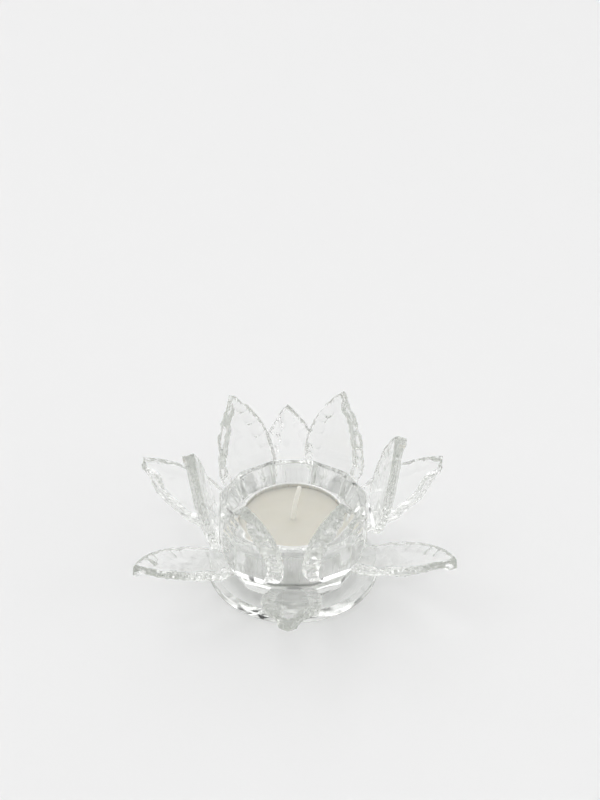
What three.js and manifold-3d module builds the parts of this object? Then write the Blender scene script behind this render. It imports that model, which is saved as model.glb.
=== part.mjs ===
// A crystal lotus holder for one tealight.
//
// A bevelled glass foot carries a twelve-sided glass cup, whose round well flares out to a thin rim. Six
// leaf-shaped glass petals spread low from the cup's tapered underside, and six more stand against its
// upright flats. A tealight in a metal cup lies loose in the well and lifts straight out. All sizes are in
// millimetres and angles in degrees. +Z is up, and the origin is the middle of the foot's underside.
// Azimuth is counted anticlockwise from +X.

import * as THREE from 'three';
import Module from 'manifold-3d';
import { ConvexGeometry } from 'three/addons/geometries/ConvexGeometry.js';
import { mergeVertices } from 'three/addons/utils/BufferGeometryUtils.js';

const { degToRad } = THREE.MathUtils;
const wasm = await Module();
wasm.setup();

// Driving dimensions
const TEALIGHT_RADIUS = 19;
const TEALIGHT_HEIGHT = 15;
const TEALIGHT_WALL = 0.4;
const TEALIGHT_FOOT_BEVEL = 0.8;
const RIM_BEAD = 0.5;
const WAX_BELOW_RIM = 2.3;
const WICK_RADIUS = 0.9;
const WICK_ABOVE_WAX = 12;
const WICK_LEAN_BACK = 20;
const WICK_LEAN_RIGHT = 12;
const WICK_ELBOW = 0.35;
const CLIP_RADIUS = 6.5;
const CLIP_THICKNESS = 0.4;
const CLIP_NECK_HEIGHT = 3;

const GLUE_GAP = 0.3;
const WELL_CLEARANCE = 1.5;
const WELL_FLOOR_HEIGHT = 11;
const WELL_FLARE_WIDTH = 4.4;
const WELL_FLARE_HEIGHT = 6;

const CUP_SIDES = 12;
const CUP_CORNER_RADIUS = 28.5;
const CUP_RIM_HEIGHT = 31;
const CUP_RIM_BEVEL = 0.7;
const CUP_SHOULDER_HEIGHT = 18.5;
const CUP_UNDERSIDE_RADIUS = 24;

const FOOT_RADIUS = 32;
const FOOT_THICKNESS = 4;
const FOOT_TOP_BEVEL = 2.2;
const FOOT_TOP_BEVEL_DROP = 1.4;
const FOOT_BOTTOM_BEVEL = 0.5;

const LEAF_THICKNESS = 4.5;
const LEAF_GIRDLE_DEPTH = 1;
const LEAF_INNER_INSET = 0.5;
const LEAF_OUTER_INSET = 0.8;
const CHIP_PITCH = 2.8;
const PETALS_PER_TIER = 6;

// A leaf is a pointed arch on a shorter root arc, cut off square at its length.
const OUTER_LEAF = { halfWidth: 11.4, tipToWidest: 27, rootArcRadius: 35, length: 43 };
const INNER_LEAF = { halfWidth: 12.5, tipToWidest: 28.5, rootArcRadius: 22, length: 38.5 };

// Each tier's petals as they should stand, and how each hand-glued one differs from that. turn and twist are
// about the upright, slope and tilt are from the horizontal, and roll is about the petal's own length.
const OUTER_TIER = {
  name: 'outer_petal',
  leaf: OUTER_LEAF,
  firstAzimuth: 30,
  tipRadius: 66,
  tipHeight: 29,
  slope: 21.5,
  handWork: [
    { rise: -0.3, tilt: -1, roll: 2.5 },
    { turn: 2, rise: 0.2, tilt: 1.5, twist: 2, roll: -0.5 },
    { turn: 0.5, rise: -0.6, tilt: 0.5, roll: -2.5 },
    { reach: 0.3, rise: 0.5, tilt: -1.5, twist: 1, roll: 4.5 },
    { turn: -1.5, reach: -2, rise: 1, tilt: 3, twist: -1.5, roll: 1 },
    { turn: 2.5, reach: 0.5, rise: 2, tilt: -1.5, roll: -5.5 },
  ],
};
const INNER_TIER = {
  name: 'inner_petal',
  leaf: INNER_LEAF,
  firstAzimuth: 0,
  tipRadius: 37.5,
  tipHeight: 58,
  slope: 77,
  handWork: [
    { turn: 6, reach: 0.3, rise: 1.8 },
    { turn: 2.5, rise: -0.5, tilt: 2, twist: 2, roll: -1 },
    { turn: 4.5, reach: 1, rise: -0.5, tilt: -5, roll: -1 },
    { turn: 1, reach: -1.2, rise: -2.5 },
    { turn: 3, reach: -0.5, rise: -1 },
    { turn: -2.5, reach: -0.5 },
  ],
};

const ROUND_STEPS = 72;
const SMALL_ROUND_STEPS = 24;
const BEAD_STEPS = 6;
const WICK_SIDES = 10;
const WICK_STEPS = 16;

// Dimensions that follow
const WELL_RADIUS = TEALIGHT_RADIUS + WELL_CLEARANCE;
const CUP_FOOT_HEIGHT = FOOT_THICKNESS + GLUE_GAP;
const TEALIGHT_FOOT_HEIGHT = WELL_FLOOR_HEIGHT + GLUE_GAP;
const TEALIGHT_FLOOR_HEIGHT = TEALIGHT_FOOT_HEIGHT + TEALIGHT_WALL;
const TEALIGHT_RIM_HEIGHT = TEALIGHT_FOOT_HEIGHT + TEALIGHT_HEIGHT;
const WAX_RADIUS = TEALIGHT_RADIUS - TEALIGHT_WALL - GLUE_GAP;
const WAX_FOOT_HEIGHT = TEALIGHT_FLOOR_HEIGHT + GLUE_GAP;
const WAX_TOP_HEIGHT = TEALIGHT_RIM_HEIGHT - WAX_BELOW_RIM;
const WICK_HOLE_RADIUS = WICK_RADIUS + GLUE_GAP;
const CLIP_NECK_RADIUS = WICK_HOLE_RADIUS + CLIP_THICKNESS;

const GLASS = { color: 0xe8f0ec, roughness: 0.05, metalness: 0 };
const ALUMINIUM = { color: 0xc8c9c6, roughness: 0.35, metalness: 1 };
const TIN_PLATE = { color: 0xb4b4b0, roughness: 0.4, metalness: 1 };
const PARAFFIN = { color: 0xe6e0d0, roughness: 0.55, metalness: 0 };
const COTTON = { color: 0xece6d6, roughness: 0.95, metalness: 0 };

function namedMesh(name, geometry, finish) {
  const mesh = new THREE.Mesh(geometry, new THREE.MeshStandardMaterial(finish));
  mesh.name = name;
  return mesh;
}

// A turned solid that stands upright, from its profile's [radius, height] pairs.
function turned(profile, steps) {
  const points = profile.map(([radius, height]) => new THREE.Vector2(radius, height));
  const geometry = new THREE.LatheGeometry(points, steps);
  return geometry.rotateX(Math.PI / 2);
}

// A turned solid with a few flat sides, set so that one flat faces +X.
function faceted(profile, sides) {
  return turned(profile, sides).rotateZ(Math.PI / sides);
}

function toSolid(geometry) {
  const bare = geometry.clone();
  bare.deleteAttribute('normal');
  bare.deleteAttribute('uv');
  const merged = mergeVertices(bare, 1e-4);
  const vertProperties = new Float32Array(merged.attributes.position.array);
  const triVerts = new Uint32Array(merged.index.array);
  const mesh = new wasm.Mesh({ numProp: 3, vertProperties, triVerts });
  return new wasm.Manifold(mesh);
}

function toGeometry(solid) {
  const mesh = solid.getMesh();
  const indexed = new THREE.BufferGeometry();
  indexed.setAttribute('position', new THREE.BufferAttribute(mesh.vertProperties, 3));
  indexed.setIndex(new THREE.BufferAttribute(mesh.triVerts, 1));
  const geometry = indexed.toNonIndexed();
  geometry.computeVertexNormals();
  return geometry;
}

function footDisc() {
  const geometry = turned([
    [0, 0],
    [FOOT_RADIUS - FOOT_BOTTOM_BEVEL, 0],
    [FOOT_RADIUS, FOOT_BOTTOM_BEVEL],
    [FOOT_RADIUS, FOOT_THICKNESS - FOOT_TOP_BEVEL_DROP],
    [FOOT_RADIUS - FOOT_TOP_BEVEL, FOOT_THICKNESS],
    [0, FOOT_THICKNESS],
  ], ROUND_STEPS);
  return namedMesh('base_disc', geometry, GLASS);
}

// The cup's outer shape, grown outwards by a margin: upright flats over flats that draw in to the underside.
function cupOuter(margin, topHeight, rimBevel) {
  const corner = CUP_CORNER_RADIUS + margin;
  return faceted([
    [0, CUP_FOOT_HEIGHT - margin],
    [CUP_UNDERSIDE_RADIUS + margin, CUP_FOOT_HEIGHT - margin],
    [corner, CUP_SHOULDER_HEIGHT],
    [corner, topHeight - rimBevel],
    [corner - rimBevel, topHeight],
    [0, topHeight],
  ], CUP_SIDES);
}

function cup() {
  const overshoot = 1;
  const cutterWidth = WELL_FLARE_WIDTH * (WELL_FLARE_HEIGHT + overshoot) / WELL_FLARE_HEIGHT;
  const outer = toSolid(cupOuter(0, CUP_RIM_HEIGHT, CUP_RIM_BEVEL));
  const well = toSolid(turned([
    [0, WELL_FLOOR_HEIGHT],
    [WELL_RADIUS, WELL_FLOOR_HEIGHT],
    [WELL_RADIUS, CUP_RIM_HEIGHT - WELL_FLARE_HEIGHT],
    [WELL_RADIUS + cutterWidth, CUP_RIM_HEIGHT + overshoot],
    [0, CUP_RIM_HEIGHT + overshoot],
  ], ROUND_STEPS));
  return namedMesh('cup', toGeometry(outer.subtract(well)), GLASS);
}

function tipArcRadius(leaf) {
  return (leaf.tipToWidest ** 2 + leaf.halfWidth ** 2) / (2 * leaf.halfWidth);
}

// Half the leaf's width at a distance back from its tip.
function leafHalfWidth(leaf, fromTip) {
  const arcRadius = fromTip < leaf.tipToWidest ? tipArcRadius(leaf) : leaf.rootArcRadius;
  return leaf.halfWidth - arcRadius + Math.sqrt(arcRadius ** 2 - (fromTip - leaf.tipToWidest) ** 2);
}

// One chipped outline of the leaf, drawn in by an inset, at a height in the plate. The leaf lies along X with
// its tip at the origin. A shift of half a chip sets one outline's corners between those of the next.
function leafOutline(leaf, inset, height, shift) {
  const arcRadius = tipArcRadius(leaf);
  const start = leaf.tipToWidest - Math.sqrt(arcRadius ** 2 - (arcRadius - leaf.halfWidth + inset) ** 2);
  const chips = Math.round((leaf.length - start) / CHIP_PITCH);
  const points = [new THREE.Vector3(-start, 0, height)];
  for (let chip = 1 - shift; chip <= chips; chip += 1) {
    const fromTip = start + (leaf.length - start) * chip / chips;
    const halfWidth = leafHalfWidth(leaf, fromTip) - inset;
    points.push(new THREE.Vector3(-fromTip, halfWidth, height));
    points.push(new THREE.Vector3(-fromTip, -halfWidth, height));
  }
  return points;
}

// One glass leaf. Its inner face is at height 0, and its chipped sides run steeply to the outer face.
function leafPlate(leaf) {
  return new ConvexGeometry([
    ...leafOutline(leaf, LEAF_INNER_INSET, 0, 0),
    ...leafOutline(leaf, 0, -LEAF_GIRDLE_DEPTH, 0.5),
    ...leafOutline(leaf, LEAF_OUTER_INSET, -LEAF_THICKNESS, 0),
  ]);
}

// One petal, glued on by hand: its root is ground to the cup, less a film of glue.
function petal(tier, index) {
  const hand = { turn: 0, reach: 0, rise: 0, tilt: 0, twist: 0, roll: 0, ...tier.handWork[index] };
  const azimuth = tier.firstAzimuth + index * 360 / PETALS_PER_TIER + hand.turn;

  const turn = new THREE.Group();
  turn.rotation.z = degToRad(azimuth);
  const mesh = namedMesh(`${tier.name}_${index + 1}`, leafPlate(tier.leaf), GLASS);
  mesh.position.set(tier.tipRadius + hand.reach, 0, tier.tipHeight + hand.rise);
  mesh.rotation.order = 'ZYX';
  mesh.rotation.set(degToRad(hand.roll), -degToRad(tier.slope + hand.tilt), degToRad(hand.twist));
  turn.add(mesh);
  turn.updateMatrixWorld(true);

  const gluedCup = cupOuter(GLUE_GAP, CUP_RIM_HEIGHT, 0);
  gluedCup.applyMatrix4(mesh.matrixWorld.clone().invert());
  mesh.geometry = toGeometry(toSolid(mesh.geometry).subtract(toSolid(gluedCup)));
  return turn;
}

function petals(tier) {
  return tier.handWork.map((_, index) => petal(tier, index));
}

// The thin metal cup that the wax is cast in, open at the top, with its rim rolled outwards.
function tealightCup() {
  const beadHeight = TEALIGHT_RIM_HEIGHT - RIM_BEAD;
  const innerRadius = TEALIGHT_RADIUS - TEALIGHT_WALL;
  const bead = [];
  for (let step = 0; step <= BEAD_STEPS; step += 1) {
    const angle = Math.PI * (step / BEAD_STEPS * 1.5 - 0.5);
    bead.push([TEALIGHT_RADIUS + RIM_BEAD * Math.cos(angle), beadHeight + RIM_BEAD * Math.sin(angle)]);
  }
  const geometry = turned([
    [0, TEALIGHT_FOOT_HEIGHT],
    [TEALIGHT_RADIUS - TEALIGHT_FOOT_BEVEL, TEALIGHT_FOOT_HEIGHT],
    [TEALIGHT_RADIUS, TEALIGHT_FOOT_HEIGHT + TEALIGHT_FOOT_BEVEL],
    ...bead,
    [innerRadius, beadHeight - RIM_BEAD],
    [innerRadius, TEALIGHT_FLOOR_HEIGHT + TEALIGHT_FOOT_BEVEL],
    [innerRadius - TEALIGHT_FOOT_BEVEL, TEALIGHT_FLOOR_HEIGHT],
    [0, TEALIGHT_FLOOR_HEIGHT],
  ], ROUND_STEPS);
  return namedMesh('tealight_cup', geometry, ALUMINIUM);
}

// The disc of wax, with the wick's hole through it and a recess underneath for the clip.
function wax() {
  const recessRadius = CLIP_RADIUS + GLUE_GAP;
  const recessHeight = WAX_FOOT_HEIGHT + CLIP_THICKNESS + GLUE_GAP;
  const neckPocketRadius = CLIP_NECK_RADIUS + GLUE_GAP;
  const neckPocketHeight = WAX_FOOT_HEIGHT + CLIP_NECK_HEIGHT + GLUE_GAP;
  const bottomRadius = WAX_RADIUS - TEALIGHT_FOOT_BEVEL;
  const geometry = turned([
    [WICK_HOLE_RADIUS, neckPocketHeight],
    [neckPocketRadius, neckPocketHeight],
    [neckPocketRadius, recessHeight],
    [recessRadius, recessHeight],
    [recessRadius, WAX_FOOT_HEIGHT],
    [bottomRadius, WAX_FOOT_HEIGHT],
    [WAX_RADIUS, WAX_FOOT_HEIGHT + TEALIGHT_FOOT_BEVEL],
    [WAX_RADIUS, WAX_TOP_HEIGHT],
    [WICK_HOLE_RADIUS, WAX_TOP_HEIGHT],
    [WICK_HOLE_RADIUS, neckPocketHeight],
  ], ROUND_STEPS);
  return namedMesh('wax', geometry, PARAFFIN);
}

// The pressed metal clip that holds the wick's foot: a thin disc with a short neck.
function wickClip() {
  const discTop = WAX_FOOT_HEIGHT + CLIP_THICKNESS;
  const neckTop = WAX_FOOT_HEIGHT + CLIP_NECK_HEIGHT;
  const geometry = turned([
    [WICK_HOLE_RADIUS, WAX_FOOT_HEIGHT],
    [CLIP_RADIUS, WAX_FOOT_HEIGHT],
    [CLIP_RADIUS, discTop],
    [CLIP_NECK_RADIUS, discTop],
    [CLIP_NECK_RADIUS, neckTop],
    [WICK_HOLE_RADIUS, neckTop],
    [WICK_HOLE_RADIUS, WAX_FOOT_HEIGHT],
  ], SMALL_ROUND_STEPS);
  return namedMesh('wick_clip', geometry, TIN_PLATE);
}

// The cotton wick: upright through the wax, then leaning over as it stands free.
function wick() {
  const section = new THREE.Shape();
  section.absarc(0, 0, WICK_RADIUS, 0, 2 * Math.PI);
  const foot = new THREE.Vector3(0, 0, WAX_FOOT_HEIGHT);
  const leaves = new THREE.Vector3(0, 0, WAX_TOP_HEIGHT);
  const tip = new THREE.Vector3(
    WICK_ABOVE_WAX * Math.tan(degToRad(WICK_LEAN_RIGHT)),
    WICK_ABOVE_WAX * Math.tan(degToRad(WICK_LEAN_BACK)),
    WAX_TOP_HEIGHT + WICK_ABOVE_WAX,
  );
  const elbow = new THREE.Vector3(0, 0, WAX_TOP_HEIGHT + WICK_ABOVE_WAX * WICK_ELBOW);
  const path = new THREE.CurvePath();
  path.add(new THREE.LineCurve3(foot, leaves));
  path.add(new THREE.QuadraticBezierCurve3(leaves, elbow, tip));
  const geometry = new THREE.ExtrudeGeometry(section, {
    extrudePath: path,
    steps: WICK_STEPS,
    curveSegments: WICK_SIDES / 2,
  });
  return namedMesh('wick', geometry, COTTON);
}

const holder = new THREE.Group();
holder.add(footDisc(), cup(), ...petals(OUTER_TIER), ...petals(INNER_TIER));

const tealight = new THREE.Group();
tealight.add(tealightCup(), wax(), wickClip(), wick());

const lotusHolder = new THREE.Group();
lotusHolder.add(holder, tealight);

export default lotusHolder;
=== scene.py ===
"""The looks of a crystal lotus tealight holder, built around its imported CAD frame.

The glass pieces are remade at full detail where the CAD has them: the foot and the cup with softened
edges, and the petals with hand-knapped edges. The tealight gets a rolled foil cup, wax that has set with
a rim, and a braided wick. Lengths in the shape functions are in millimetres, and pieces are in metres.
"""

import math

import bmesh
import bpy
import numpy as np
from mathutils import Matrix, Vector


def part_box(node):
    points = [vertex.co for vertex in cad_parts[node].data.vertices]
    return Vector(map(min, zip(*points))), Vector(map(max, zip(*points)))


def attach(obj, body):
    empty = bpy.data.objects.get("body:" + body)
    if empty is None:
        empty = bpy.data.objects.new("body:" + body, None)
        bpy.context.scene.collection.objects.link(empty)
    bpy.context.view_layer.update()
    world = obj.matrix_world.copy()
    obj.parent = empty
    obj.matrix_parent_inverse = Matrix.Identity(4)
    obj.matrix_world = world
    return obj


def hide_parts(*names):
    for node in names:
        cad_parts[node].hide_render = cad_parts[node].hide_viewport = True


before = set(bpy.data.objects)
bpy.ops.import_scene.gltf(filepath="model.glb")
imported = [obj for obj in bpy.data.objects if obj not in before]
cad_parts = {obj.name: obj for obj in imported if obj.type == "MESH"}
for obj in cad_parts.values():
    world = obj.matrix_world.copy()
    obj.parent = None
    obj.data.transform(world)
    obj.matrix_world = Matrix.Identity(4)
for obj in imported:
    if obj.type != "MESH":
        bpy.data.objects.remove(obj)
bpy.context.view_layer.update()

MM = 0.001
GLUE_FILM = 0.06
SMOOTH_WITHIN = math.radians(12)

# The cup's outside. FLAT_REACH is how far out its flats are, as a share of how far out its corners are.
CUP_SIDES = 12
CUP_STEP = 2 * math.pi / CUP_SIDES
FLAT_REACH = math.cos(math.pi / CUP_SIDES)

# The tealight's foil, thinner than the CAD's cup, with a rolled bead for a rim.
FOIL_BEAD = 0.5
FOIL_THICKNESS = 0.25

# The petals' leaf shapes, the same driving dimensions as the CAD leaves.
LEAF_THICKNESS = 4.5
GIRDLE_DEPTH = 1.0
INNER_INSET = 0.5
OUTER_INSET = 0.8
OUTER_LEAF = {"half_width": 11.4, "tip_to_widest": 27.0, "root_arc": 35.0, "length": 43.0}
INNER_LEAF = {"half_width": 12.5, "tip_to_widest": 28.5, "root_arc": 22.0, "length": 38.5}


# ---------------------------------------------------------------- reading the frame


def cad_points(node):
    """The CAD node's corner points, each once, in millimetres."""
    points = np.array([v.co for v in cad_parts[node].data.vertices]) / MM
    return np.unique(points.round(3), axis=0)


def radius_at(node, height, widest=True):
    """The widest or narrowest radius among the node's corner points at a height."""
    points = cad_points(node)
    level = points[np.abs(points[:, 2] - height) < 0.05]
    radii = np.hypot(level[:, 0], level[:, 1])
    return radii.max() if widest else radii.min()


def levels(node):
    """The heights at which the node has corner points, lowest first."""
    return sorted(set(cad_points(node)[:, 2].round(2)))


def leaf_axes(node):
    """The matrix that puts a leaf drawn with its tip at the origin where the CAD node's leaf is.

    The leaf's inner face looks up and in towards the holder's axis, and the leaf is even about its length
    near the tip, so the face's direction and the corner points round the tip give its axes.
    """
    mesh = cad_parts[node].data
    middle = Vector(np.mean([v.co for v in mesh.vertices], axis=0))
    inward = Vector((-middle.x, -middle.y, 0)).normalized() + Vector((0, 0, 1))
    areas = {}
    for face in mesh.polygons:
        if face.normal.dot(inward) > 0:
            facing = tuple(round(value, 2) for value in face.normal)
            areas[facing] = areas.get(facing, Vector()) + face.normal * face.area
    up = max(areas.values(), key=lambda total: total.length).normalized()
    points = [Vector(point) * MM for point in cad_points(node)]
    lengthwise = middle - up * middle.dot(up)
    tip = max(points, key=lambda point: point.dot(lengthwise))
    near = [point for point in points if (point - tip).length < 20 * MM]
    back = sum(near, Vector()) / len(near) - tip
    along = -(back - up * back.dot(up)).normalized()
    across = up.cross(along)
    origin = tip + up * GIRDLE_DEPTH * MM
    axes = Matrix((along, across, up)).transposed().to_4x4()
    return Matrix.Translation(origin) @ axes @ Matrix.Scale(MM, 4)


# ---------------------------------------------------------------- mesh building


def add_piece(name, points, faces, body, node, material, to_world=Matrix.Scale(MM, 4)):
    """A piece of the visual model: it takes the CAD node's place and moves with the body."""
    mesh = bpy.data.meshes.new(name)
    mesh.from_pydata([tuple(p) for p in points], [], faces)
    mesh.transform(to_world)
    mesh.update()
    shade(mesh)
    mesh.materials.append(material)
    piece = bpy.data.objects.new(name, mesh)
    bpy.context.scene.collection.objects.link(piece)
    flats = piece.modifiers.new("flats_stay_flat", "WEIGHTED_NORMAL")
    flats.keep_sharp = True
    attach(piece, body)
    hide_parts(node)
    return piece


def shade(mesh, within=SMOOTH_WITHIN):
    """Smooth shading, with an edge kept crisp where its faces meet at more than an angle."""
    mesh.shade_smooth()
    mesh.set_sharp_from_angle(angle=within)


def skin(rings, capped=True):
    """Points and faces of the skin through equally long rings, closed by flat caps or on to itself."""
    count = len(rings[0])
    points = np.concatenate(rings)
    faces = []
    joins = len(rings) - 1 if capped else len(rings)
    for level in range(joins):
        low = level * count
        high = (level + 1) % len(rings) * count
        for k in range(count):
            after = (k + 1) % count
            faces.append((low + k, low + after, high + after, high + k))
    if capped:
        faces.append(tuple(reversed(range(count))))
        faces.append(tuple(range(len(points) - count, len(points))))
    return points, faces


def softened(profile, width, closed=False):
    """The profile with each corner rounded off over a short width, less than half of either side's run."""
    corners = [np.array(p, float) for p in profile]
    count = len(corners)
    result = []
    for k, corner in enumerate(corners):
        if not closed and k in (0, count - 1):
            result.append(corner)
            continue
        before = corners[k - 1] - corner
        after = corners[(k + 1) % count] - corner
        run_before = np.linalg.norm(before[:2])
        run_after = np.linalg.norm(after[:2])
        reach = min(width, run_before / 2.2, run_after / 2.2)
        start = corner + before / run_before * reach
        end = corner + after / run_after * reach
        result += [start, (start + 2 * corner + end) / 4, end]
    return result


def circle(radius, height, angles):
    """Points round the upright axis at each of the angles."""
    return np.stack([radius * np.cos(angles), radius * np.sin(angles), np.full(len(angles), height)], 1)


def turned(profile, count=144, closed=False):
    """The profile of (radius, height) points turned about the upright axis."""
    angles = np.arange(count) * 2 * math.pi / count
    rings = [circle(radius, height, angles) for radius, height in profile]
    return skin(rings, capped=not closed)


# ---------------------------------------------------------------- materials


def node_material(name):
    """A new material, its node tree and its main shader."""
    material = bpy.data.materials.new(name)
    material.use_nodes = True
    tree = material.node_tree
    return material, tree, tree.nodes["Principled BSDF"]


def noise(tree, scale, detail=3.0, roughness=0.5, vector=None):
    """Cloudy noise, from 0 to 1 with most of it near a half, over the object unless a vector is given."""
    node = tree.nodes.new("ShaderNodeTexNoise")
    node.inputs["Scale"].default_value = scale
    node.inputs["Detail"].default_value = detail
    node.inputs["Roughness"].default_value = roughness
    if vector is None:
        vector = tree.nodes.new("ShaderNodeTexCoord").outputs["Object"]
    tree.links.new(vector, node.inputs["Vector"])
    return node.outputs["Fac"]


def ranged(tree, value, low, high, from_low=0.3, from_high=0.7):
    """The value stretched from one range to another and held at its ends."""
    node = tree.nodes.new("ShaderNodeMapRange")
    node.inputs["From Min"].default_value = from_low
    node.inputs["From Max"].default_value = from_high
    node.inputs["To Min"].default_value = low
    node.inputs["To Max"].default_value = high
    tree.links.new(value, node.inputs["Value"])
    return node.outputs["Result"]


def multiplied(tree, first, second):
    """The product of two values."""
    node = tree.nodes.new("ShaderNodeMath")
    node.operation = "MULTIPLY"
    tree.links.new(first, node.inputs[0])
    tree.links.new(second, node.inputs[1])
    return node.outputs["Value"]


def tinted(tree, factor, first, second):
    """A colour between the first and the second, by the factor."""
    node = tree.nodes.new("ShaderNodeMix")
    node.data_type = "RGBA"
    tree.links.new(factor, node.inputs["Factor"])
    node.inputs["A"].default_value = (*first, 1)
    node.inputs["B"].default_value = (*second, 1)
    return node.outputs["Result"]


def bump(tree, shader, height, strength, distance):
    """Fine relief on the shader's surface, too small to be modelled."""
    node = tree.nodes.new("ShaderNodeBump")
    node.inputs["Strength"].default_value = strength
    node.inputs["Distance"].default_value = distance
    tree.links.new(height, node.inputs["Height"])
    tree.links.new(node.outputs["Normal"], shader.inputs["Normal"])


def crystal(name, wave_scale, wave_height, haze, depth_of_tint):
    """Clear glass: its faces have a slight wave and a trace of haze, and its body a faint green tint."""
    material, tree, shader = node_material(name)
    shader.inputs["Transmission Weight"].default_value = 1.0
    shader.inputs["IOR"].default_value = 1.52
    tint = tinted(tree, noise(tree, 60), (0.985, 0.99, 0.985), (1.0, 1.0, 1.0))
    tree.links.new(tint, shader.inputs["Base Color"])
    tree.links.new(ranged(tree, noise(tree, 140, 4), 0.0, haze), shader.inputs["Roughness"])
    bump(tree, shader, noise(tree, wave_scale, 1.0), 1.0, wave_height)
    body = tree.nodes.new("ShaderNodeVolumeAbsorption")
    body.inputs["Color"].default_value = (0.65, 0.67, 0.625, 1)
    body.inputs["Density"].default_value = depth_of_tint
    tree.links.new(body.outputs["Volume"], tree.nodes["Material Output"].inputs["Volume"])
    return material


def foil():
    """Thin drawn aluminium: satin, with faint upright draw marks and handling dents."""
    material, tree, shader = node_material("aluminium_foil")
    shader.inputs["Metallic"].default_value = 1.0
    place = tree.nodes.new("ShaderNodeTexCoord").outputs["Object"]
    stretch = tree.nodes.new("ShaderNodeMapping")
    stretch.inputs["Scale"].default_value = (1, 1, 0.06)
    tree.links.new(place, stretch.inputs["Vector"])
    streaks = noise(tree, 900, 3, vector=stretch.outputs["Vector"])
    colour = tinted(tree, streaks, (0.70, 0.70, 0.69), (0.86, 0.86, 0.85))
    tree.links.new(colour, shader.inputs["Base Color"])
    tree.links.new(ranged(tree, streaks, 0.22, 0.42), shader.inputs["Roughness"])
    bump(tree, shader, noise(tree, 220, 2), 0.35, 0.0003)
    return material


def tin_plate():
    """Dull tinned steel with an even fine grain."""
    material, tree, shader = node_material("tin_plate")
    shader.inputs["Metallic"].default_value = 1.0
    grain = noise(tree, 700, 4)
    colour = tinted(tree, grain, (0.52, 0.52, 0.50), (0.68, 0.68, 0.66))
    tree.links.new(colour, shader.inputs["Base Color"])
    tree.links.new(ranged(tree, grain, 0.3, 0.5), shader.inputs["Roughness"])
    bump(tree, shader, grain, 0.2, 0.0001)
    return material


def paraffin():
    """Off-white wax: light goes a little way in, and the set surface is mottled with soft dimples."""
    material, tree, shader = node_material("paraffin_wax")
    mottle = noise(tree, 110, 4)
    colour = tinted(tree, mottle, (0.60, 0.58, 0.512), (0.655, 0.64, 0.57))
    tree.links.new(colour, shader.inputs["Base Color"])
    shader.inputs["Subsurface Weight"].default_value = 0.35
    shader.inputs["Subsurface Radius"].default_value = (1.0, 0.8, 0.55)
    shader.inputs["Subsurface Scale"].default_value = 0.003
    shader.inputs["IOR"].default_value = 1.44
    tree.links.new(ranged(tree, noise(tree, 420, 3), 0.38, 0.58), shader.inputs["Roughness"])
    bump(tree, shader, noise(tree, 260, 3), 0.3, 0.0004)
    return material


def cotton():
    """Braided cotton stiffened with wax: fine fibre over the braid's own relief."""
    material, tree, shader = node_material("cotton_wick")
    fibre = noise(tree, 2600, 4, 0.7)
    colour = tinted(tree, fibre, (0.84, 0.82, 0.74), (0.93, 0.92, 0.86))
    tree.links.new(colour, shader.inputs["Base Color"])
    tree.links.new(ranged(tree, fibre, 0.55, 0.85), shader.inputs["Roughness"])
    shader.inputs["Sheen Weight"].default_value = 0.3
    bump(tree, shader, fibre, 0.5, 0.00008)
    return material


# ---------------------------------------------------------------- foot and cup


def foot_disc(material):
    """The round foot: the CAD's bevels with their edges softened."""
    heights = levels("base_disc")
    profile = [(radius_at("base_disc", height), height) for height in heights]
    cap_radius = 0.5
    edge_width = 0.3
    rounded = softened([(cap_radius, heights[0])] + profile + [(cap_radius, heights[-1])], edge_width)
    points, faces = turned(rounded)
    add_piece("foot_disc_glass", points, faces, "holder", "base_disc", material)


def cup_outline(per_side, corner_gap):
    """Angles round the cup, with a short gap across each corner, and how far out its side is at each."""
    half = math.pi / CUP_SIDES - corner_gap
    on_flat = np.linspace(-half, half, per_side)
    angles = np.concatenate([on_flat + side * CUP_STEP for side in range(CUP_SIDES)])
    reach = FLAT_REACH / np.cos(np.tile(on_flat, CUP_SIDES))
    return angles, reach


def cup_glass(material):
    """The twelve-sided cup: its outer rings are polygons and its well's rings are circles."""
    angles, polygon = cup_outline(11, 0.006)
    foot, floor_height, shoulder, flare, rim_edge, top = levels("cup")
    glued = levels("base_disc")[-1] + GLUE_FILM
    foot_corner = radius_at("cup", foot)
    corner = radius_at("cup", shoulder)
    well = radius_at("cup", floor_height)
    edge_width = 0.35
    outside, inside = 1, 0
    profile = [
        (foot_corner / 2, glued, outside),
        (foot_corner, glued, outside),
        (corner, shoulder, outside),
        (corner, rim_edge, outside),
        (radius_at("cup", top), top, outside),
        (radius_at("cup", top, widest=False), top, inside),
        (well, flare, inside),
        (well, floor_height, inside),
        (well / 2, floor_height, inside),
    ]
    rings = []
    for radius, height, faceted in softened(profile, edge_width):
        shape = faceted * polygon + (1 - faceted)
        ring = circle(1, height, angles)
        ring[:, :2] *= (radius * shape)[:, None]
        rings.append(ring)
    points, faces = skin(rings)
    add_piece("cup_glass", points, faces, "holder", "cup", material)


# ---------------------------------------------------------------- petals


def leaf_edge(leaf, inset, share):
    """A point on one side of the leaf's outline drawn in by an inset, at a share of the way to the root."""
    half, run = leaf["half_width"], leaf["tip_to_widest"]
    tip_arc = (run**2 + half**2) / (2 * half)
    start = run - np.sqrt(tip_arc**2 - (tip_arc - half + inset) ** 2)
    from_tip = start + (leaf["length"] - start) * share
    arc = np.where(from_tip < run, tip_arc, leaf["root_arc"])
    return -from_tip, half - inset - arc + np.sqrt(arc**2 - (from_tip - run) ** 2)


def leaf_ring(leaf, inset, height, shares):
    """The whole outline: down one side to the tip and back up the other."""
    x, y = leaf_edge(leaf, inset, shares)
    side = np.stack([x, y, np.full(len(x), height)], 1)
    other = side[1:] * (1, -1, 1)
    return np.concatenate([side[::-1], other])


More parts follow.
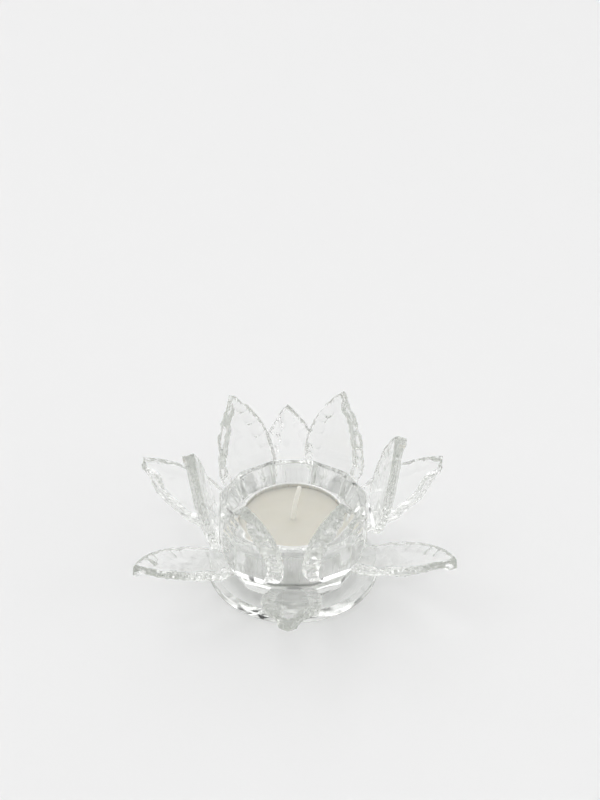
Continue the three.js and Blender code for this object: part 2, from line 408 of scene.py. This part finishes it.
def leaf_rows():
    """(inset, height) of each ring, from the inner face over the edge and on to the outer face."""
    inner = [(inset, 0.0) for inset in (2.6, 1.9, 1.4, 1.0, 0.75, INNER_INSET)]
    lip = [(INNER_INSET * s, -GIRDLE_DEPTH * (1 - s)) for s in (0.6, 0.25, 0.0)]
    drop = LEAF_THICKNESS - GIRDLE_DEPTH
    edge = [(OUTER_INSET * s, -GIRDLE_DEPTH - drop * s) for s in np.linspace(0, 1, 9)[1:]]
    spacing = 0.52
    outer = [(OUTER_INSET + spacing * k, -LEAF_THICKNESS) for k in range(1, 13)]
    return inner + lip + edge + outer


def row_of_flakes(leaf, rng, first, pitch, insets, heights, angles, radii, bites):
    """Balls along both sides of the leaf, each biting a scoop out of it: (centre, radius) of each.

    Each pair of values is a range to draw from. A ball stands off in the direction that its angle gives,
    in degrees above the leaf's plane, and its bite is how far it reaches in past its inset and height.
    """
    past_root = 1.1
    little_way = 0.01
    found = []
    for side in (1, -1):
        from_tip = first + rng.uniform(0, pitch)
        while from_tip < leaf["length"] * past_root:
            share = from_tip / leaf["length"]
            x, y = leaf_edge(leaf, rng.uniform(*insets), share)
            ahead_x, ahead_y = leaf_edge(leaf, 0.0, share + little_way)
            here_x, here_y = leaf_edge(leaf, 0.0, share)
            outward = np.array([ahead_y - here_y, here_x - ahead_x])
            outward /= np.linalg.norm(outward)
            slope = math.radians(rng.uniform(*angles))
            away = np.array([*(outward * math.cos(slope)), math.sin(slope)])
            radius = rng.uniform(*radii)
            centre = np.array([x, y, rng.uniform(*heights)]) + away * (radius - rng.uniform(*bites))
            found.append((centre * (1, side, 1), radius))
            from_tip += pitch * rng.uniform(0.7, 1.3)
    return found


def flakes(leaf, rng):
    """The scoops left by knapping: down the sides, on the inner face's edge and far in on the outer face."""
    middle = -LEAF_THICKNESS / 2
    sides = row_of_flakes(
        leaf,
        rng,
        first=0,
        pitch=3.3,
        insets=(0.2, 0.5),
        heights=(middle - 1.2, middle + 1.3),
        angles=(-24, 10),
        radii=(3.4, 6.2),
        bites=(0.3, 0.9),
    )
    nicks = row_of_flakes(
        leaf,
        rng,
        first=0,
        pitch=1.7,
        insets=(0.3, 0.5),
        heights=(-0.2, 0.0),
        angles=(15, 50),
        radii=(1.0, 2.2),
        bites=(0.05, 0.22),
    )
    scars = row_of_flakes(
        leaf,
        rng,
        first=4,
        pitch=4.2,
        insets=(2.6, 3.6),
        heights=(-LEAF_THICKNESS, -LEAF_THICKNESS + 0.1),
        angles=(-68, -56),
        radii=(7, 11),
        bites=(0.9, 1.6),
    )
    return sides + nicks + scars


def knapped(points, hearts, balls):
    """Each point drawn in towards its heart, to where the line out from the heart first meets a ball.

    That is the smaller root of a quadratic in the share of the line, whose terms are a, 2b and c.
    """
    reach = points - hearts
    keep = np.ones(len(points))
    for centre, radius in balls:
        off = hearts - centre
        a = (reach**2).sum(1)
        b = (reach * off).sum(1)
        c = (off**2).sum(1) - radius**2
        inside = b**2 - a * c
        entry = (-b - np.sqrt(np.maximum(inside, 0))) / a
        hit = (inside > 0) & (entry > 0) & (entry < keep)
        keep = np.where(hit, entry, keep)
    return hearts + reach * keep[:, None]


def leaf_mesh(leaf, rng):
    """The knapped leaf: a fine band over its edge, closed by its two flat faces and its root.

    The band's first and last rings border the flat faces, so they are left as they are.
    """
    columns = 84
    crowding_at_tip = 1.15
    heart_inset = 7.0
    shares = np.linspace(0, 1, columns) ** crowding_at_tip
    rows = leaf_rows()
    hearts = leaf_ring(leaf, heart_inset, -LEAF_THICKNESS / 2, shares)
    rings = [leaf_ring(leaf, inset, height, shares) for inset, height in rows]
    points = np.concatenate(rings)
    moved = knapped(points, np.tile(hearts, (len(rows), 1)), flakes(leaf, rng))
    count = len(rings[0])
    moved[:count] = points[:count]
    moved[-count:] = points[-count:]
    faces = []
    for level in range(len(rows) - 1):
        low, high = level * count, (level + 1) * count
        for k in range(count - 1):
            faces.append((low + k, high + k, high + k + 1, low + k + 1))
    last = (len(rows) - 1) * count
    faces.append(tuple(range(count)))
    faces.append(tuple(range(last + count - 1, last - 1, -1)))
    root = [level * count for level in range(len(rows))]
    root_back = [level * count + count - 1 for level in reversed(range(len(rows)))]
    faces.append(tuple(reversed(root + root_back)))
    return moved, faces


def facet_plane(azimuth, upright):
    """A point on, and the direction of, the cup's facet that faces an azimuth, out by a film of glue."""
    facing = round(azimuth / CUP_STEP) * CUP_STEP
    foot, _, shoulder, *_ = levels("cup")
    reach = radius_at("cup", shoulder) * FLAT_REACH
    taper = 0 if upright else reach - radius_at("cup", foot) * FLAT_REACH
    out = Vector((math.cos(facing), math.sin(facing), 0))
    normal = (out * (shoulder - foot) - Vector((0, 0, taper))).normalized()
    return (out * reach + Vector((0, 0, shoulder)) + normal * GLUE_FILM) * MM, normal


def ground_to(piece, plane):
    """The petal's root ground flat where it meets the cup's facet."""
    point, normal = plane
    bm = bmesh.new()
    bm.from_mesh(piece.data)
    everything = bm.verts[:] + bm.edges[:] + bm.faces[:]
    cut = bmesh.ops.bisect_plane(bm, geom=everything, plane_co=point, plane_no=normal, clear_inner=True)
    rim = [item for item in cut["geom_cut"] if isinstance(item, bmesh.types.BMEdge)]
    bmesh.ops.edgeloop_fill(bm, edges=rim)
    bmesh.ops.recalc_face_normals(bm, faces=bm.faces)
    bm.to_mesh(piece.data)
    bm.free()
    shade(piece.data)


def petal(tier, number, leaf, upright, material):
    """One petal, with its own seed for its flakes, standing on an upright or a tapered facet of the cup."""
    node = f"{tier}_{number}"
    rng = np.random.default_rng(number + 100 * upright)
    points, faces = leaf_mesh(leaf, rng)
    axes = leaf_axes(node)
    piece = add_piece(f"{node}_glass", points, faces, "holder", node, material, axes)
    azimuth = math.atan2(axes.translation.y, axes.translation.x)
    ground_to(piece, facet_plane(azimuth, upright))


# ---------------------------------------------------------------- tealight


def foil_profile(foot, top, radius):
    """The foil's (radius, height) points: under its base, up its wall, round the bead and down inside."""
    inner = radius - FOIL_THICKNESS
    middle = 0.5
    wall_foot = foot + 1.2
    wall_top = top - 2 * FOIL_BEAD
    raised = foot + 0.35
    wall_heights = np.linspace(wall_foot, wall_top, 14)
    base = [
        (middle, raised),
        (radius - 3.2, raised),
        (radius - 2.6, foot),
        (radius - 1.0, foot),
        (radius - 0.3, raised),
    ]
    wall = [(radius, height) for height in wall_heights]
    bead = [
        (radius + FOIL_BEAD * math.cos(a), top - FOIL_BEAD + FOIL_BEAD * math.sin(a))
        for a in np.radians(np.arange(-90, 181, 30))
    ]
    back = [(inner, height) for height in wall_heights[::-1]]
    inside = [
        (inner - 0.3, raised + FOIL_THICKNESS),
        (inner - 1.0, foot + FOIL_THICKNESS),
        (radius - 2.7, foot + FOIL_THICKNESS),
        (radius - 3.3, raised + FOIL_THICKNESS),
        (middle, raised + FOIL_THICKNESS),
    ]
    return base + wall + bead + back[1:] + inside


def foil_cup(material):
    """The drawn foil cup: rolled rim, fine upright flutes in its wall, and a stepped base."""
    low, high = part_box("tealight_cup")
    foot, top = low.z / MM, high.z / MM
    radius = high.x / MM - FOIL_BEAD
    count = 180
    flutes = 60
    flute_depth = 0.05
    angles = np.arange(count) * 2 * math.pi / count
    rings = []
    for ring_radius, height in foil_profile(foot, top, radius):
        below_bead = height < top - 2 * FOIL_BEAD
        on_wall = ring_radius > radius - FOIL_THICKNESS - 0.1 and below_bead
        depth = flute_depth * max(0.0, math.sin(math.pi * (height - foot) / (top - foot))) * on_wall
        ring = circle(1, height, angles)
        ring[:, :2] *= (ring_radius + depth * np.cos(flutes * angles) - depth)[:, None]
        rings.append(ring)
    points, faces = skin(rings)
    piece = add_piece("foil_cup", points, faces, "tealight", "tealight_cup", material)
    shade(piece.data, math.radians(35))


def set_wax(material):
    """Wax that has set in the cup: drawn up at the foil and round the wick, and a little sunk between."""
    low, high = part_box("wax")
    bottom, top = low.z / MM, high.z / MM
    foil_gap = 0.12
    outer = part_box("tealight_cup")[1].x / MM - FOIL_BEAD - FOIL_THICKNESS - foil_gap
    hole = radius_at("wick", levels("wick")[0]) + 0.02
    chamfer = 0.8
    radii = hole + (outer - hole) * np.linspace(0, 1, 40) ** 0.9
    from_wick = (radii - hole) / (outer - hole)
    rise_at_foil = 0.45 * np.exp(-(outer - radii) / 0.8)
    rise_at_wick = 0.5 * np.exp(-(radii - hole) / 1.3)
    sink = -0.35 * np.sin(np.pi * from_wick)
    lifts = rise_at_foil + rise_at_wick + sink
    count = 144
    angles = np.arange(count) * 2 * math.pi / count
    rings = [
        circle(hole, bottom, angles),
        circle(outer - chamfer, bottom, angles),
        circle(outer, bottom + chamfer, angles),
        circle(outer, top - 1, angles),
    ]
    ripple_height = 0.06
    for radius, lift, share in zip(radii[::-1], lifts[::-1], from_wick[::-1]):
        ring = circle(radius, top + lift, angles)
        ripple = np.sin(3 * angles + 0.4 * radius) * np.cos(0.5 * radius + angles)
        ring[:, 2] += ripple_height * share * ripple
        rings.append(ring)
    points, faces = skin(rings, capped=False)
    piece = add_piece("set_wax", points, faces, "tealight", "wax", material)
    shade(piece.data, math.radians(40))


def wick_clip(material):
    """The clip at the wick's foot: a thin disc and a neck, with softened edges."""
    foot, disc_top, neck_top = levels("wick_clip")
    outer = radius_at("wick_clip", foot)
    hole = radius_at("wick_clip", foot, widest=False)
    neck = radius_at("wick_clip", neck_top)
    fillet = 0.5
    edge_width = 0.12
    profile = [
        (hole, foot),
        (outer, foot),
        (outer, disc_top),
        (neck + fillet, disc_top),
        (neck, disc_top + fillet),
        (neck, neck_top),
        (hole, neck_top),
    ]
    points, faces = turned(softened(profile, edge_width, closed=True), 72, closed=True)
    add_piece("wick_clip_metal", points, faces, "tealight", "wick_clip", material)


def wick_line(radius):
    """Points up the middle of the wick: straight through the wax, then bending over to its tip."""
    low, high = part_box("wick")
    wax_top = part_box("wax")[1].z / MM
    tip_inset = 0.45
    tip = np.array([high.x / MM - radius, high.y / MM - radius, high.z / MM - tip_inset])
    leaves = np.array([0, 0, wax_top])
    elbow = leaves + (0, 0, 0.35 * (tip[2] - wax_top))
    upright = [np.array([0, 0, z]) for z in np.linspace(low.z / MM, wax_top, 40, endpoint=False)]
    bend = [leaves * (1 - t) ** 2 + elbow * 2 * t * (1 - t) + tip * t**2 for t in np.linspace(0, 1, 60)]
    return np.array(upright + bend)


def braided_wick(material):
    """The wick's own bend, with a braid of crossing strands raised on its surface and a narrowed tip."""
    radius = radius_at("wick", levels("wick")[0])
    line = wick_line(radius)
    ahead = np.gradient(line, axis=0)
    ahead /= np.linalg.norm(ahead, axis=1)[:, None]
    run = np.concatenate([[0], np.cumsum(np.linalg.norm(np.diff(line, axis=0), axis=1))])
    side = np.cross(ahead, (0, 1, 0))
    side /= np.linalg.norm(side, axis=1)[:, None]
    other = np.cross(ahead, side)
    count = 36
    angles = np.arange(count) * 2 * math.pi / count
    strands = 4
    twist = 2 * math.pi / 3.0
    core, strand_height = 0.86, 0.12
    tip_share, tip_length = 0.72, 0.5
    rings = []
    for k, centre in enumerate(line):
        one_way = np.sin(strands * angles + twist * run[k])
        other_way = np.sin(strands * angles - twist * run[k])
        swell = radius * (core + strand_height * np.abs(np.maximum(one_way, other_way)))
        swell *= min(1.0, tip_share + (1 - tip_share) * (run[-1] - run[k]) / tip_length)
        across = np.outer(np.cos(angles) * swell, side[k])
        rings.append(centre + across + np.outer(np.sin(angles) * swell, other[k]))
    points, faces = skin(rings)
    piece = add_piece("braided_wick", points, faces, "tealight", "wick", material)
    shade(piece.data, math.radians(50))


# ---------------------------------------------------------------- stage, light and camera


def floor():
    """A wide matt paper floor, a hair below the foot."""
    size = 8.0
    below = -0.00005
    mesh = bpy.data.meshes.new("floor")
    corners = [(x * size, y * size, below) for x, y in ((-1, -1), (1, -1), (1, 1), (-1, 1))]
    mesh.from_pydata(corners, [], [(0, 1, 2, 3)])
    obj = bpy.data.objects.new("floor", mesh)
    bpy.context.scene.collection.objects.link(obj)
    material, tree, shader = node_material("pale_floor")
    paper = noise(tree, 900, 2)
    tree.links.new(tinted(tree, paper, (0.80, 0.80, 0.80), (0.81, 0.81, 0.81)), shader.inputs["Base Color"])
    shader.inputs["Roughness"].default_value = 0.9
    shader.inputs["Specular IOR Level"].default_value = 0.0
    mesh.materials.append(material)


def studio_world():
    """A pale tent: bright overhead, dim on the camera's side, with soft patches, small gaps and lamps in it.

    The camera itself sees an even backdrop instead of the tent.
    """
    world = bpy.data.worlds.new("studio_tent")
    bpy.context.scene.world = world
    world.use_nodes = True
    tree = world.node_tree
    direction = tree.nodes.new("ShaderNodeTexCoord").outputs["Generated"]
    split = tree.nodes.new("ShaderNodeSeparateXYZ")
    tree.links.new(direction, split.inputs["Vector"])
    overhead = ranged(tree, split.outputs["Z"], 0.92, 1.46, 0.0, 0.45)
    open_side = ranged(tree, split.outputs["Y"], 0.5, 1.0, -0.85, -0.15)
    patches = ranged(tree, noise(tree, 1.7, 1.0, vector=direction), 0.66, 1.26, 0.38, 0.62)
    gaps = ranged(tree, noise(tree, 6.5, 1.0, vector=direction), 0.0, 1.0, 0.37, 0.41)
    lamps = ranged(tree, noise(tree, 4.3, 1.0, vector=direction), 1.0, 2.2, 0.66, 0.70)
    cloth = multiplied(tree, multiplied(tree, overhead, open_side), patches)
    light = multiplied(tree, cloth, multiplied(tree, gaps, lamps))
    tent = tree.nodes["Background"]
    tent.inputs["Color"].default_value = (1, 1, 1, 1)
    tree.links.new(light, tent.inputs["Strength"])
    backdrop = tree.nodes.new("ShaderNodeBackground")
    backdrop.inputs["Color"].default_value = (0.855, 0.855, 0.855, 1)
    seen = tree.nodes.new("ShaderNodeLightPath").outputs["Is Camera Ray"]
    choose = tree.nodes.new("ShaderNodeMixShader")
    tree.links.new(seen, choose.inputs["Fac"])
    tree.links.new(tent.outputs["Background"], choose.inputs[1])
    tree.links.new(backdrop.outputs["Background"], choose.inputs[2])
    tree.links.new(choose.outputs["Shader"], tree.nodes["World Output"].inputs["Surface"])


def softbox(name, place, size, watts):
    """A square lamp that faces the object."""
    light = bpy.data.lights.new(name, "AREA")
    light.shape = "SQUARE"
    light.size = size
    light.energy = watts
    obj = bpy.data.objects.new(name, light)
    bpy.context.scene.collection.objects.link(obj)
    obj.location = place
    obj.rotation_euler = Vector(place).to_track_quat("Z", "Y").to_euler()


def camera():
    """A long lens, high in front of the object and tilted down at it."""
    tilt_down = math.radians(36.2)
    data = bpy.data.cameras.new("camera")
    data.lens = 114.9
    data.sensor_width = 36
    obj = bpy.data.objects.new("camera", data)
    bpy.context.scene.collection.objects.link(obj)
    obj.location = (0.0026, -0.7423, 0.6222)
    obj.rotation_euler = (math.pi / 2 - tilt_down, 0, 0)
    bpy.context.scene.camera = obj


def look():
    """Plain colours, and enough bounces for light to find its way out of the cut glass."""
    scene = bpy.context.scene
    scene.view_settings.view_transform = "Standard"
    scene.cycles.max_bounces = 48
    scene.cycles.transmission_bounces = 40
    scene.cycles.glossy_bounces = 40
    scene.cycles.diffuse_bounces = 4
    scene.cycles.blur_glossy = 0


# ---------------------------------------------------------------- the object


camera()
look()
floor()
studio_world()
softbox("key_softbox", (-0.5, 0.35, 0.9), size=0.3, watts=0.45)
softbox("side_softbox", (0.7, -0.35, 0.6), size=0.25, watts=0.3)

polished = crystal("crystal_polished", wave_scale=45, wave_height=0.0004, haze=0.03, depth_of_tint=6)
knapped_crystal = crystal("crystal_petals", wave_scale=90, wave_height=0.0003, haze=0.05, depth_of_tint=20)

foot_disc(polished)
cup_glass(polished)
for number in range(1, 7):
    petal("outer_petal", number, OUTER_LEAF, False, knapped_crystal)
    petal("inner_petal", number, INNER_LEAF, True, knapped_crystal)

foil_cup(foil())
set_wax(paraffin())
wick_clip(tin_plate())
braided_wick(cotton())
